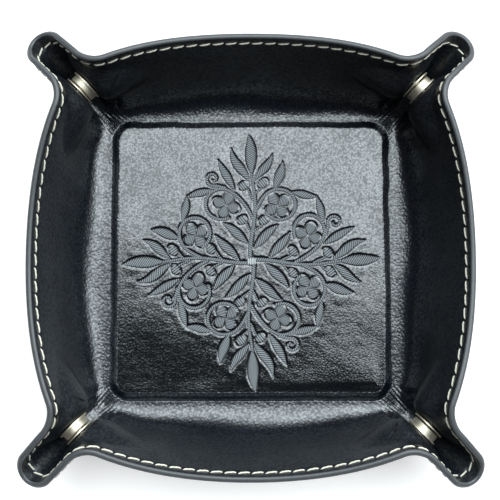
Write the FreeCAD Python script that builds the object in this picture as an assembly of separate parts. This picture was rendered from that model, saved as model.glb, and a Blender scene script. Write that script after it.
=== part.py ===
import FreeCAD, Part
import math
import os

os.makedirs("parts", exist_ok=True)
Vec = FreeCAD.Vector

# Leather plies and the stiffening board, in millimetres with +Z up
ply = 1.1
glue_film = 0.02
board_thick = 1.6
board_film = 0.04

# Pressed base: a rounded square, measured at the foot of the walls
foot_half = 56.0
foot_corner = 8.5
board_inset = 4.5
under_step_inset = 4.4
under_step_run = 1.8
top_step_inset = 3.7
top_step_run = 1.9

# Rim seen from above: side arc, neck arc, straight ear side, round ear tip
side_spread = 22.5
side_bow = 147.0
neck_round = 10.0
ear_half = 6.3
ear_straight = 9.7
rim_mid_height = 35.0
rim_neck_height = 42.0
rim_tip_height = 28.0

# Wall curve from foot to rim
foot_run_mid = 10.0
foot_run_ear = 7.0
foot_run_limit_share = 0.6
rim_slope_mid = math.radians(68.0)
rim_pull_share = 0.42
corner_start_share = 0.6
foot_soft = 4.0

# Folds: share of the wall curve kept by the base, and the working gaps
lip_share = 0.18
wall_curve = 43.0
fold_gap = 0.4
neck_offset = 1.5
neck_gap = 1.2
keel_gap = 0.3
keel_relief = 1.1

# Snap fasteners, measured along the line square to the corner's diagonal plane
snap_inset = 21.4
snap_height = 22.6
snap_stack = 4.4
snap_flat = 0.4
snap_fade = 5.9
flange_radius = 6.1
flange_thick = 0.6
flange_round = 0.2
seat_gap = 0.1
rivet_radius = 1.4
rivet_gap = 0.1
nub_radius = 2.3
nub_neck_radius = 1.9
nub_gap = 0.2
cup_radius = 5.2
cup_gap = 0.5
cup_round = 0.5
cup_bore = 3.1
spring_wire = 0.25
spring_gap = 0.1
spring_inset = 0.35
spring_slot = 1.6
cap_rise = 1.3
cap_edge = 0.8
cap_round = 0.25
eyelet_bore = 0.9
overrun = 30.0

# Grid steps of the leather surfaces, and the small steps that measure their slope
wall_columns = 48
ear_columns = 30
rise_rows = 22
ring_columns = 34
ring_rows = 9
lip_rows = 5
probe = 0.02
probe_share = 0.0005

root2 = math.sqrt(2)
right_angle = 90.0
up = Vec(0, 0, 1)
across = Vec(-1, 1, 0) / root2


def ease(share):
    """Smooth rise from 0 to 1 with level ends."""
    share = min(max(share, 0), 1)
    return (1 - math.cos(math.pi * share)) / 2


# Lengths of the rim's four runs, from the middle of a side to the ear tip
side_reach = foot_half + side_spread
bow_centre = side_reach - side_bow
neck_shift = (ear_half + neck_round) * root2
neck_span = neck_shift - bow_centre
neck_x = (math.sqrt(2 * (side_bow + neck_round) ** 2 - neck_span ** 2) - neck_span) / 2
neck_y = neck_x + neck_shift
bow_angle = math.atan2(neck_x, neck_y - bow_centre)
neck_angle = math.pi / 4 + bow_angle
ear_start = (neck_x + neck_y) / root2
ear_end = ear_start + ear_straight
ear_reach = ear_end + ear_half
snap_reach = ear_reach - snap_inset
side_length = side_bow * bow_angle
neck_length = neck_round * neck_angle
tip_length = ear_half * math.pi / 2
neck_top = side_length + neck_length / 2
rim_length = side_length + neck_length + ear_straight + tip_length
cut_at = side_length + neck_offset

cheek = snap_stack / 2 + ply
foot_straight = foot_half - foot_corner
foot_length = foot_straight + foot_corner * math.pi / 4
corner_share = (foot_length - foot_straight) / (rim_length - foot_straight)


def rim_plan(along):
    """Point of the rim seen from above, a distance along from the middle of the north side."""
    if along <= side_length:
        angle = along / side_bow
        return side_bow * math.sin(angle), bow_centre + side_bow * math.cos(angle)
    along -= side_length
    if along <= neck_length:
        angle = along / neck_round - bow_angle
        return neck_x + neck_round * math.sin(angle), neck_y - neck_round * math.cos(angle)
    along -= neck_length
    reach, aside = ear_start + along, ear_half
    if along > ear_straight:
        angle = (along - ear_straight) / ear_half
        reach = ear_end + ear_half * math.sin(angle)
        aside = ear_half * math.cos(angle)
    return (reach - aside) / root2, (reach + aside) / root2


def rim_height(along):
    """Height of the rim: low at mid side, high at the neck, lowest at the ear tip."""
    if along < neck_top:
        return rim_mid_height + (rim_neck_height - rim_mid_height) * ease(along / neck_top)
    fall = ease((along - neck_top) / (rim_length - neck_top))
    return rim_neck_height + (rim_tip_height - rim_neck_height) * fall


def foot_distance(along):
    """Distance along the foot line, which slows softly to the corner's share of the rim."""
    past = math.log(1 + math.exp((along - foot_straight) / foot_soft))
    past -= math.log(1 + math.exp(-foot_straight / foot_soft))
    return along - (1 - corner_share) * foot_soft * past


def foot_frame(along):
    """Foot point below a rim point, with the outward direction of the foot line there."""
    gone = foot_distance(along) * foot_length / foot_distance(rim_length)
    if gone <= foot_straight:
        return gone, foot_half, 0, 1
    angle = (gone - foot_straight) / foot_corner
    out_x, out_y = math.sin(angle), math.cos(angle)
    return foot_straight + foot_corner * out_x, foot_straight + foot_corner * out_y, out_x, out_y


def bezier(share, start, first, second, end):
    """Cubic curve value at a share of its run."""
    rest = 1 - share
    ends = rest ** 3 * start + share ** 3 * end
    return ends + 3 * rest * share * (rest * first + share * second)


def pinch(reach, aside, height):
    """Draw a cheek flat and parallel to the diagonal plane round the snap."""
    distance = math.hypot(reach - snap_reach, height - snap_height) - flange_radius
    pull = ease((snap_fade - distance) / (snap_fade - snap_flat))
    part = min(aside / cheek, 1)
    return aside + pull * part ** 2 * (3 - 2 * part) * (cheek - aside)


def seam_point(along, share):
    """Point between the two plies; share runs from foot to rim."""
    if along < 0:
        point = seam_point(-along, share)
        return Vec(-point.x, point.y, point.z)
    if along > rim_length:
        point = seam_point(2 * rim_length - along, share)
        return Vec(point.y, point.x, point.z)
    foot_x, foot_y = foot_frame(along)[:2]
    rim_x, rim_y = rim_plan(along)
    rise = rim_height(along) - ply
    reach = math.hypot(rim_x - foot_x, rim_y - foot_y)
    corner_start = corner_start_share * side_length
    corner = ease((along - corner_start) / (rim_length - corner_start))
    run = min(foot_run_mid + (foot_run_ear - foot_run_mid) * corner, foot_run_limit_share * reach)
    slope = rim_slope_mid + (math.atan2(rise, reach - run) - rim_slope_mid) * corner
    pull = rim_pull_share * rise / math.sin(slope)
    out = bezier(share, 0, run, reach - pull * math.cos(slope), reach) / reach
    height = ply + bezier(share, 0, 0, rise - pull * math.sin(slope), rise)
    x, y = foot_x + (rim_x - foot_x) * out, foot_y + (rim_y - foot_y) * out
    reach, aside = (x + y) / root2, (y - x) / root2
    aside = pinch(reach, aside, height)
    return Vec((reach - aside) / root2, (reach + aside) / root2, height)


def seam_normal(along, share):
    """Direction square to the seam surface, toward the inside of the tray."""
    low, high = max(share - probe_share, 0), min(share + probe_share, 1)
    rise = seam_point(along, high) - seam_point(along, low)
    run = seam_point(along + probe, share) - seam_point(along - probe, share)
    return run.cross(rise).normalize()


def skin_point(along, share, offset):
    """Point of a ply face, an offset from the seam surface."""
    return seam_point(along, share) + seam_normal(along, share) * offset


def spread(first, last, steps):
    """Even steps from first to last."""
    return [first + (last - first) * step / steps for step in range(steps + 1)]


def surface(grid):
    """Smooth face through a grid of points."""
    patch = Part.BSplineSurface()
    patch.interpolate(grid)
    return patch.toShape()


def closed(faces):
    """Solid from the faces that close it."""
    shell = Part.makeShell(faces)
    shell.sewShape()
    solid = Part.Solid(shell)
    if solid.Volume < 0:
        solid.reverse()
    return solid


def sheet(alongs, first_share, offsets):
    """Leather panel between two offsets, from a share of the wall curve up to the rim."""
    shares = spread(first_share, 1, rise_rows)
    sides = [surface([[skin_point(a, s, offset) for s in shares] for a in alongs]) for offset in offsets]
    edges = [Part.makeRuledSurface(low, high) for low, high in zip(sides[0].Edges, sides[1].Edges)]
    return closed(sides + edges)


def quarter_turns(shape, turns):
    """Copy of a shape turned about the tray's middle."""
    turned = shape.copy()
    turned.rotate(Vec(0, 0, 0), up, right_angle * turns)
    return turned


def other_half(shape):
    """Mirror image across the corner's diagonal plane."""
    return shape.mirror(Vec(0, 0, 0), across)


inner_offsets = (glue_film, ply)
outer_offsets = (-glue_film, -ply)
fold_share = lip_share + fold_gap / wall_curve


foot_line = (0, 0)


def pressed_step(inset, run):
    """Insets and heights of the step where a face falls from the board to the groove."""
    fall = [(inset - run * share, board_thick * (1 - ease(share))) for share in spread(0, 1, ring_rows)]
    return fall + [((inset - run) / 2, 0), foot_line]


def ring_face(offset, step):
    """Eighth of a base face: the step to the groove, where there is one, then the lip of the wall."""
    columns = []
    for along in spread(0, rim_length, ring_columns):
        foot_x, foot_y, out_x, out_y = foot_frame(along)
        column = []
        for inset, height in step:
            column.append(Vec(foot_x - out_x * inset, foot_y - out_y * inset, ply + offset + height))
        for share in spread(0, lip_share, lip_rows)[1:]:
            column.append(skin_point(along, share, offset))
        columns.append(column)
    return surface(columns)


def all_eighths(shape):
    """An eighth of the base repeated round the tray."""
    pair = (shape, other_half(shape))
    return [quarter_turns(half, turns) for turns in range(4) for half in pair]


def base_ply(offsets, steps):
    """Base panel of one ply, with its step and its lip, closed all round."""
    faces = []
    rims = []
    for offset, step in zip(offsets, steps):
        eighth = ring_face(offset, step)
        inside, outside = eighth.Edges[1], eighth.Edges[3]
        middle = Part.Wire(Part.sortEdges(all_eighths(inside))[0])
        faces += all_eighths(eighth) + [Part.Face(middle)]
        rims.append(all_eighths(outside))
    faces += [Part.makeRuledSurface(low, high) for low, high in zip(*rims)]
    return closed(faces)


def board():
    """Stiff board that gives the base its raised, flat middle."""
    half = foot_half - board_inset
    height = board_thick - 2 * board_film
    blank = Part.makeBox(2 * half, 2 * half, height, Vec(-half, -half, ply + board_film))
    upright = [edge for edge in blank.Edges if edge.Length < 2 * board_thick]
    return blank.makeFillet(foot_corner - board_inset, upright)


def corner_slot(width):
    """Upright slab along the diagonal plane, to clear a fold."""
    slab = Part.makeBox(2 * overrun, width, 2 * overrun, Vec(snap_reach - overrun, -width / 2, -overrun))
    slab.rotate(Vec(0, 0, 0), up, right_angle / 2)
    return slab


def on_snap_axis(shape):
    """Move a round piece from the +Z axis to the snap's place in the north-east corner."""
    place = Vec(snap_reach / root2, snap_reach / root2, snap_height)
    shape.Placement = FreeCAD.Placement(place, FreeCAD.Rotation(up, across))
    return shape


def disc(radius, low, high):
    """Round bar on the snap axis between two levels."""
    return Part.makeCylinder(radius, high - low, Vec(0, 0, low))


def ear_sheet(offsets, slot):
    """North half of the north-east ear, cleared at the fold and pierced for the snap."""
    alongs = spread(cut_at + neck_gap / 2, rim_length, ear_columns)
    panel = sheet(alongs, fold_share, offsets)
    hole = on_snap_axis(disc(rivet_radius + rivet_gap, 0, overrun))
    return panel.cut(corner_slot(slot)).cut(hole)


# Levels along the snap axis, from the diagonal plane out through the leather
inner_face = snap_stack / 2
outer_face = inner_face + 2 * ply
flange_back = inner_face - seat_gap
flange_front = flange_back - flange_thick
rivet_seat = flange_back - flange_thick / 2
head_back = outer_face + seat_gap
cup_front = cup_gap - flange_front
spring_level = (flange_front + cup_front) / 2
spring_radius = cup_bore + spring_inset
rivet_hole = rivet_radius + rivet_gap


def stud():
    """Stud half: flange on the leather with a round nub that enters the socket."""
    flange = disc(flange_radius, flange_front, flange_back)
    flange = flange.makeFillet(flange_round, flange.Edges[:1])
    nub_middle = nub_gap - flange_front + nub_radius
    neck = disc(nub_neck_radius, nub_middle, rivet_seat)
    ball = Part.makeSphere(nub_radius, Vec(0, 0, nub_middle))
    nub = ball.common(disc(flange_radius, -overrun, rivet_seat))
    body = flange.fuse([neck, nub]).removeSplitter()
    return body.cut(disc(rivet_hole, rivet_seat, overrun))


def eyelet():
    """Ring on the outside of the leather whose barrel holds the stud."""
    ring = disc(flange_radius, head_back, head_back + flange_thick)
    ring = ring.makeFillet(flange_round, ring.Edges[:1])
    barrel = disc(rivet_radius, rivet_seat + seat_gap, head_back + flange_thick / 2)
    return ring.fuse(barrel).removeSplitter().cut(disc(eyelet_bore, flange_back, overrun))


def socket():
    """Socket half: flange, raised cup, bore for the nub and a groove for the spring."""
    flange = disc(flange_radius, flange_front, flange_back)
    cup = disc(cup_radius, cup_front, rivet_seat)
    cup = cup.makeFillet(cup_round, cup.Edges[2:])
    half_groove = spring_wire + spring_gap
    groove = disc(spring_radius + half_groove, spring_level - half_groove, spring_level + half_groove)
    body = flange.fuse(cup).removeSplitter().cut(disc(cup_bore, -overrun, flange_front))
    return body.cut(groove).cut(disc(rivet_hole, rivet_seat, overrun))


def spring():
    """Split wire ring that grips the nub inside the socket."""
    ring = Part.makeTorus(spring_radius, spring_wire, Vec(0, 0, spring_level))
    gap = Part.makeBox(overrun, spring_slot, 2 * overrun, Vec(0, -spring_slot / 2, -overrun))
    return ring.cut(gap)


def cap():
    """Domed cap outside the leather whose post is set into the socket."""
    shoulder = head_back + cap_edge
    half = flange_radius - cap_edge / 2
    ball_radius = (half ** 2 + cap_rise ** 2) / (2 * cap_rise)
    ball = Part.makeSphere(ball_radius, Vec(0, 0, shoulder + cap_rise - ball_radius))
    dome = ball.common(disc(flange_radius, head_back + cap_edge / 2, overrun))
    edge = disc(flange_radius, head_back, shoulder)
    edge = edge.makeFillet(cap_round, edge.Edges[:1])
    post = disc(rivet_radius, rivet_seat + seat_gap, head_back + cap_edge / 2)
    return edge.fuse([dome, post]).removeSplitter()


# Base, walls, ears and snaps
pieces = {"base_board": board()}
under_step = pressed_step(under_step_inset, under_step_run)
top_step = pressed_step(top_step_inset, top_step_run)
pieces["base_inner"] = base_ply(inner_offsets, (under_step, top_step))
pieces["base_outer"] = base_ply(outer_offsets, ([foot_line], [foot_line]))

corners = ("ne", "nw", "sw", "se")
sides = ("north", "west", "south", "east")
wall_end = cut_at - neck_gap / 2
wall_alongs = spread(-wall_end, wall_end, wall_columns)
plies = {"inner": (inner_offsets, 2 * keel_gap), "outer": (outer_offsets, 2 * keel_relief)}
for layer, (offsets, slot) in plies.items():
    wall = sheet(wall_alongs, fold_share, offsets)
    ear = ear_sheet(offsets, slot)
    for turns, corner in enumerate(corners):
        near, far = sides[turns], sides[turns - 1]
        pieces["wall_%s_%s" % (near, layer)] = quarter_turns(wall, turns)
        pieces["ear_%s_%s_%s" % (corner, near, layer)] = quarter_turns(ear, turns)
        pieces["ear_%s_%s_%s" % (corner, far, layer)] = quarter_turns(other_half(ear), turns)

stud_half = {"stud": stud(), "eyelet": eyelet()}
socket_half = {"socket": socket(), "spring": spring(), "cap": cap()}
fittings = {name: on_snap_axis(shape) for name, shape in stud_half.items()}
fittings.update({name: other_half(on_snap_axis(shape)) for name, shape in socket_half.items()})
for turns, corner in enumerate(corners):
    for name, shape in fittings.items():
        pieces["snap_%s_%s" % (corner, name)] = quarter_turns(shape, turns)

for node, shape in pieces.items():
    solid = shape.Solids[0]
    solid.exportStep("parts/%s.step" % node)
    print(node, "valid" if solid.isValid() else "not valid", round(solid.Volume, 1), "cubic mm")
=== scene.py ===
import bpy
import math
import numpy as np
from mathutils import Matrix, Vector


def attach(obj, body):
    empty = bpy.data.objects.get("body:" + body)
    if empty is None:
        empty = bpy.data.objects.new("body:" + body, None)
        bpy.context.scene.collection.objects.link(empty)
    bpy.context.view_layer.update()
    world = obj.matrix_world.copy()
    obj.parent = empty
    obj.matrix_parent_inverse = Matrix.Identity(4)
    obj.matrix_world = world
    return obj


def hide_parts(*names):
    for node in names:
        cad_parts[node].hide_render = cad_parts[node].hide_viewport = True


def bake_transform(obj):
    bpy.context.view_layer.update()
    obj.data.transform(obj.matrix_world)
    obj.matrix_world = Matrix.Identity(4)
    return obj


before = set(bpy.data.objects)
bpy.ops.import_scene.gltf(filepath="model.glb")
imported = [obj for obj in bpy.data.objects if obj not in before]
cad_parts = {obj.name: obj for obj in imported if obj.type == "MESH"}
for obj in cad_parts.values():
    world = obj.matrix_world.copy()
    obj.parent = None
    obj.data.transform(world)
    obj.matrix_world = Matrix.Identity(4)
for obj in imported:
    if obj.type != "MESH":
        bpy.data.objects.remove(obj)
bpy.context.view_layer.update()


# The board: a square of pressed fibreboard, hidden between the two leathers of the base.
# It is die cut with round corners and glued in, and it gives the base its flat raised middle.
def add_nodes(material, **kinds):
    """Shader nodes of the given kinds in a material, by name."""
    return {name: material.node_tree.nodes.new("ShaderNode" + kind) for name, kind in kinds.items()}


def wire(material, *links):
    """Links written as (node, output, node, input)."""
    for source, output, target, entry in links:
        material.node_tree.links.new(source.outputs[output], target.inputs[entry])


def set_inputs(node, **values):
    """Plain input values of a node, with underscores for the spaces in their names."""
    for entry, value in values.items():
        node.inputs[entry.replace("_", " ")].default_value = value


def new_finish(name, **values):
    """Material with a principled shader whose plain inputs are set by name."""
    material = bpy.data.materials.new(name)
    material.use_nodes = True
    shader = material.node_tree.nodes["Principled BSDF"]
    set_inputs(shader, **values)
    return material, shader


def mottled(name, dark, light, grain_per_metre, bump_metres, **values):
    """Finish that drifts between two colours with a fine noise, which also raises the surface a little."""
    material, shader = new_finish(name, **values)
    n = add_nodes(material, place="TexCoord", grain="TexNoise", tone="MixRGB", bump="Bump")
    set_inputs(n["grain"], Scale=grain_per_metre, Detail=4.0)
    set_inputs(n["tone"], Color1=(*dark, 1), Color2=(*light, 1))
    set_inputs(n["bump"], Strength=0.4, Distance=bump_metres)
    wire(material, (n["place"], "Object", n["grain"], "Vector"), (n["grain"], "Fac", n["tone"], "Fac"),
         (n["tone"], "Color", shader, "Base Color"), (n["grain"], "Fac", n["bump"], "Height"),
         (n["bump"], "Normal", shader, "Normal"))
    return material


def dress(nodes, material):
    """Give carried-over pieces their finish."""
    for node in nodes:
        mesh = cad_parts[node].data
        mesh.materials.clear()
        mesh.materials.append(material)


fibreboard = mottled("fibreboard", (0.30, 0.26, 0.21), (0.48, 0.43, 0.36), 500.0, 0.0002, Roughness=0.85)
dress(["base_board"], fibreboard)


# The base: a lining and a shell of smooth black hide, pressed over the board and glued back to back.
# The panel drops into a pressed groove, and beyond it the sheet turns up into the walls and the ears.
# The standing sheet is one formula, in millimetres, from the foot of a wall up to its rim.
MM = 0.001
ROOT2 = math.sqrt(2)
PLY = 1.1
FOOT_HALF, FOOT_CORNER, FOOT_SOFT = 56.0, 8.5, 4.0
SIDE_REACH, SIDE_BOW, NECK_ROUND = 78.5, 138.0, 10.0
EAR_HALF, EAR_REACH = 6.1, 112.8
RIM_MID, RIM_NECK, RIM_TIP = 35.0, 42.0, 28.0
FOOT_RUN_MID, FOOT_RUN_EAR = 16.0, 13.0
RIM_SLOPE_MID, RIM_PULL_SHARE, CORNER_START_SHARE = math.radians(68.0), 0.42, 0.6
SNAP_REACH, SNAP_HEIGHT, SNAP_CHEEK = 89.2, 22.6, 3.3
SNAP_FLAT, SNAP_FADE = 6.5, 13.5

BOW_CENTRE = SIDE_REACH - SIDE_BOW
NECK_SHIFT = (EAR_HALF + NECK_ROUND) * ROOT2
NECK_SPAN = NECK_SHIFT - BOW_CENTRE
NECK_X = (math.sqrt(2 * (SIDE_BOW + NECK_ROUND) ** 2 - NECK_SPAN ** 2) - NECK_SPAN) / 2
NECK_Y = NECK_X + NECK_SHIFT
BOW_ANGLE = math.atan2(NECK_X, NECK_Y - BOW_CENTRE)
EAR_START, EAR_END = (NECK_X + NECK_Y) / ROOT2, EAR_REACH - EAR_HALF
SIDE_LENGTH = SIDE_BOW * BOW_ANGLE
NECK_LENGTH = NECK_ROUND * (math.pi / 4 + BOW_ANGLE)
EAR_LENGTH = EAR_END - EAR_START
NECK_TOP = SIDE_LENGTH + NECK_LENGTH / 2
RIM_LENGTH = SIDE_LENGTH + NECK_LENGTH + EAR_LENGTH + EAR_HALF * math.pi / 2
FOOT_STRAIGHT = FOOT_HALF - FOOT_CORNER
FOOT_LENGTH = FOOT_STRAIGHT + FOOT_CORNER * math.pi / 4
CORNER_SHARE = (FOOT_LENGTH - FOOT_STRAIGHT) / (RIM_LENGTH - FOOT_STRAIGHT)


def ease(share):
    """Smooth rise from 0 to 1: half a cosine wave, level at both ends."""
    return 0.5 - 0.5 * np.cos(np.pi * np.clip(share, 0, 1))


def bump(distance, width):
    """Bell curve of height 1 and the given half width."""
    return np.exp(-(distance / width) ** 2)


def unit(vectors):
    """Vectors divided by their own length."""
    return vectors / np.linalg.norm(vectors, axis=-1, keepdims=True)


def wave(points, seed, length, count=9):
    """Sum of plane sine waves in seeded directions, each about one length long, scaled to about one."""
    draw = np.random.default_rng(seed)
    directions = unit(draw.normal(size=(count, 3)))
    phases = draw.uniform(0, 2 * np.pi, count)
    lengths = length * draw.uniform(0.7, 1.4, count)
    return np.sin(points @ (directions / lengths[:, None]).T * 2 * np.pi + phases).sum(-1) / math.sqrt(count)


def half_side(along):
    """Fold any distance along the rim into the half side that the formula covers, with its mirror flags."""
    folded = np.abs(along)
    past_tip = folded > RIM_LENGTH
    return np.where(past_tip, 2 * RIM_LENGTH - folded, folded), past_tip, along < 0


def unfold(x, y, past_tip, left):
    """Mirror a half-side point across the diagonal and the middle where its distance was folded."""
    x, y = np.where(past_tip, y, x), np.where(past_tip, x, y)
    return np.where(left, -x, x), y


def rim_plan(along):
    """Rim from above: a wide side arc, a small neck arc turning back, a straight ear side and a
    quarter-round ear tip."""
    past_side = along - SIDE_LENGTH
    past_neck = past_side - NECK_LENGTH
    bow = along / SIDE_BOW
    neck = past_side / NECK_ROUND - BOW_ANGLE
    tip = np.clip((past_neck - EAR_LENGTH) / EAR_HALF, 0, None)
    reach = np.where(tip > 0, EAR_END + EAR_HALF * np.sin(tip), EAR_START + past_neck)
    aside = EAR_HALF * np.cos(tip)
    zones = [past_side <= 0, past_neck <= 0]
    x = np.select(zones, [SIDE_BOW * np.sin(bow), NECK_X + NECK_ROUND * np.sin(neck)],
                  (reach - aside) / ROOT2)
    y = np.select(zones, [BOW_CENTRE + SIDE_BOW * np.cos(bow), NECK_Y - NECK_ROUND * np.cos(neck)],
                  (reach + aside) / ROOT2)
    return x, y


def rim_height(along):
    """Rim height: low at mid side, eased up to the neck, eased down to the ear tip."""
    rise = RIM_MID + (RIM_NECK - RIM_MID) * ease(along / NECK_TOP)
    fall = RIM_NECK + (RIM_TIP - RIM_NECK) * ease((along - NECK_TOP) / (RIM_LENGTH - NECK_TOP))
    return np.where(along < NECK_TOP, rise, fall)


def foot_frame(along):
    """Foot line below the rim: straight, then a round corner that is passed more slowly, with its outward
    direction."""
    def gone(value):
        at_middle = np.logaddexp(0, -FOOT_STRAIGHT / FOOT_SOFT)
        past = np.logaddexp(0, (value - FOOT_STRAIGHT) / FOOT_SOFT) - at_middle
        return value - (1 - CORNER_SHARE) * FOOT_SOFT * past

    distance = gone(along) * FOOT_LENGTH / gone(RIM_LENGTH)
    angle = np.clip((distance - FOOT_STRAIGHT) / FOOT_CORNER, 0, None)
    out_x, out_y = np.sin(angle), np.cos(angle)
    x = np.where(angle > 0, FOOT_STRAIGHT + FOOT_CORNER * out_x, distance)
    return x, FOOT_STRAIGHT + FOOT_CORNER * out_y, out_x, out_y


def seam_surface(along, share):
    """Surface between the plies: over each foot point a cubic curve, level at the foot and steep at the rim,
    drawn flat and parallel to the diagonal plane near the snap."""
    along, past_tip, left = half_side(np.asarray(along, float))
    foot_x, foot_y = foot_frame(along)[:2]
    rim_x, rim_y = rim_plan(along)
    rise = rim_height(along) - PLY
    reach = np.hypot(rim_x - foot_x, rim_y - foot_y)
    corner_span = RIM_LENGTH / SIDE_LENGTH - CORNER_START_SHARE
    corner = ease((along / SIDE_LENGTH - CORNER_START_SHARE) / corner_span)
    run = np.minimum(FOOT_RUN_MID + (FOOT_RUN_EAR - FOOT_RUN_MID) * corner, reach)
    slope = RIM_SLOPE_MID + (np.arctan2(rise, reach - run) - RIM_SLOPE_MID) * corner
    pull = RIM_PULL_SHARE * rise / np.sin(slope)
    rest = 1 - share
    first, second, third = 3 * rest ** 2 * share, 3 * rest * share ** 2, share ** 3
    out = (first * run + second * (reach - pull * np.cos(slope)) + third * reach) / reach
    height = PLY + second * (rise - pull * np.sin(slope)) + third * rise
    x, y = foot_x + (rim_x - foot_x) * out, foot_y + (rim_y - foot_y) * out
    far, aside = (x + y) / ROOT2, (y - x) / ROOT2
    from_snap = np.hypot(far - SNAP_REACH, height - SNAP_HEIGHT)
    near_snap = ease((SNAP_FADE - from_snap) / (SNAP_FADE - SNAP_FLAT))
    part = np.clip(aside / SNAP_CHEEK, 0, 1)
    aside = aside + near_snap * part ** 2 * (3 - 2 * part) * (SNAP_CHEEK - aside)
    x, y = unfold((far - aside) / ROOT2, (far + aside) / ROOT2, past_tip, left)
    return np.stack(np.broadcast_arrays(x, y, height), -1)


def slopes(surface, along, share):
    """Directions of a surface along the rim and up to it, from central differences."""
    step, step_share = 0.04, 0.001
    run = surface(along + step, share) - surface(along - step, share)
    rise = surface(along, share + step_share) - surface(along, share - step_share)
    return run, rise


def seam_normals(along, share):
    """Direction square to the seam surface, toward the inside of the tray."""
    return unit(np.cross(*slopes(seam_surface, along, share)))


WALL_STITCHES, EAR_STITCHES = 10, 8
STITCH_PITCH = RIM_LENGTH / (WALL_STITCHES + EAR_STITCHES)
SEAM_INSET, SEAM_WIDTH, SEAM_DEPTH = 2.6, 0.8, 0.3
HOLE_HALF, LINE_SHARE, HOLE_SHARE = 0.8, 0.55, 0.7
TIP_INSET, TIP_SPAN = 1.2, 10.0
SAG_DEPTH, SAG_SEED, SAG_LENGTH = 0.25, 5, 34.0
WRINKLE_DEPTH, WRINKLE_SEED, WRINKLE_LENGTH = 0.03, 6, 7.0
STAND_RISE, STAND_FALL = 3, 4
CREASE_DEPTH, CREASE_PITCH, CREASE_FADE, CREASE_SKEW = 0.16, 1.5, 3.4, 0.05
CREASE_FROM, CREASE_RISE, CREASE_TO, CREASE_FALL = 70.0, 5.0, 86.0, 6.0
PINCH_DEPTH, PINCH_WIDTH, PINCH_FROM, PINCH_RISE = 0.7, 2.4, 75.5, 6.0


def below_rim(along, share):
    """Distance down the wall curve from its rim."""
    top_share = 0.004
    top = np.linalg.norm(seam_surface(along, 1.0) - seam_surface(along, 1 - top_share), axis=-1)
    return (1 - share) * top / top_share


def seam_inset(along):
    """Distance of the seam below the rim: the same all round, and further in at the ear tips."""
    return SEAM_INSET + TIP_INSET * bump(RIM_LENGTH - half_side(along)[0], TIP_SPAN)


def seam_press(along, share):
    """Depth of the seam line pressed into either face, deeper at each stitch hole."""
    line = bump(below_rim(along, share) - seam_inset(along), SEAM_WIDTH)
    holes = bump(np.mod(along + STITCH_PITCH / 2, STITCH_PITCH) - STITCH_PITCH / 2, HOLE_HALF)
    return SEAM_DEPTH * line * (LINE_SHARE + HOLE_SHARE * holes)


def sheet_sway(share, seam):
    """Slow waves and small wrinkles of the standing leather, which both faces follow."""
    standing = ease(share * STAND_RISE) * ease((1 - share) * STAND_FALL)
    sag = SAG_DEPTH * wave(seam, SAG_SEED, SAG_LENGTH)
    return standing * (sag + WRINKLE_DEPTH * wave(seam, WRINKLE_SEED, WRINKLE_LENGTH))


def corner_pinch(seam):
    """Depth to which the lining is drawn in at a corner: a pinch and fine creases along the diagonal valley
    to the snap."""
    x, y = np.abs(seam[..., 0]), seam[..., 1]
    far, aside = (x + y) / ROOT2, (y - x) / ROOT2
    valley = ease((far - CREASE_FROM) / CREASE_RISE) * ease((CREASE_TO - far) / CREASE_FALL)
    skewed = aside + CREASE_SKEW * (far - CREASE_FROM)
    creases = np.cos(2 * np.pi * skewed / CREASE_PITCH) * bump(aside, CREASE_FADE)
    drawn = PINCH_DEPTH * ease((far - PINCH_FROM) / PINCH_RISE) * bump(aside, PINCH_WIDTH)
    return valley * (CREASE_DEPTH * creases + drawn)


def lining_face(along, share):
    """Inner face of the sheet: the seam surface raised by one ply and its sway, less the pressed seam line
    and the pinch."""
    seam = seam_surface(along, share)
    rise = PLY + sheet_sway(share, seam) - seam_press(along, share) - corner_pinch(seam)
    return seam + rise[..., None] * seam_normals(along, share)


def shell_face(along, share):
    """Outer face of the sheet: the seam surface lowered by one ply, with the same sway and the same seam
    line pressed in."""
    seam = seam_surface(along, share)
    fall = PLY - sheet_sway(share, seam) - seam_press(along, share)
    return seam - fall[..., None] * seam_normals(along, share)


def quarter_turns(points, turns):
    """Points turned about the tray's middle by a number of right angles."""
    turn = np.linalg.matrix_power(np.array([[0, -1, 0], [1, 0, 0], [0, 0, 1]]), turns % 4)
    return points @ turn.T


def grid_faces(columns, rows, closed_columns=False, closed_rows=False):
    """Four-sided faces of a grid whose points are stored column by column."""
    index = np.arange(columns * rows).reshape(columns, rows)
    if closed_columns:
        index = np.concatenate([index, index[:1]], 0)
    if closed_rows:
        index = np.concatenate([index, index[:, :1]], 1)
    return np.stack([index[:-1, :-1], index[1:, :-1], index[1:, 1:], index[:-1, 1:]], -1).reshape(-1, 4)


def add_piece(name, points, faces, materials, face_material=None, normals=None, uv=None):
    """Mesh object at the origin from points in millimetres, with its finish and optional normals and UV."""
    mesh = bpy.data.meshes.new(name)
    mesh.from_pydata((points.reshape(-1, 3) * MM).tolist(), [], faces)
    for material in materials:
        mesh.materials.append(material)
    if face_material is not None:
        mesh.polygons.foreach_set("material_index", np.asarray(face_material, np.int32))
    mesh.polygons.foreach_set("use_smooth", np.ones(len(mesh.polygons), bool))
    if uv is not None:
        corners = np.empty(len(mesh.loops), np.int32)
        mesh.loops.foreach_get("vertex_index", corners)
        corner_uv = uv.reshape(-1, 2)[corners].astype(np.float32)
        mesh.uv_layers.new(name="UVMap").data.foreach_set("uv", corner_uv.ravel())
    mesh.update()
    if normals is not None:
        mesh.normals_split_custom_set_from_vertices(normals.reshape(-1, 3).tolist())
    piece = bpy.data.objects.new(name, mesh)
    bpy.context.collection.objects.link(piece)
    return piece


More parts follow.
